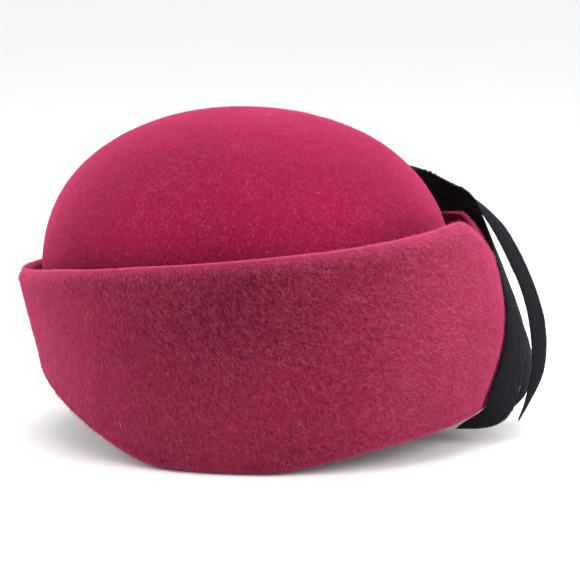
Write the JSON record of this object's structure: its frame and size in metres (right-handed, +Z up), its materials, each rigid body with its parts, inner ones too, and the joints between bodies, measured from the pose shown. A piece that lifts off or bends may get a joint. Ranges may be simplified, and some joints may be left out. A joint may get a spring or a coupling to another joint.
{
  "type": "felt hat with turned-up brim and feather spray",
  "caption": "Rounded velour felt hat, hollow and open below, with a deep brim turned up all round as a cuff and a spray of dark feathers falling down behind it.",
  "frame": {"origin": "middle of the head opening, in the plane that the fold of the brim rests on", "axes": "+Z up, -Y the way the wearer faces, +X the wearer's left"},
  "size_m": [0.2006, 0.2502, 0.154],
  "materials": {
    "felt": "raspberry velour fur felt with a short leaning nap",
    "feather": "black feather with a bluish satin sheen",
    "binding": "matt black thread"
  },
  "bodies": {
    "root": {"crown": "felt", "brim": "felt", "quill_binding": "binding", "feather_inner": "feather", "feather_outer": "feather", "feather_middle": "feather", "feather_far": "feather"}
  },
  "joints": []
}
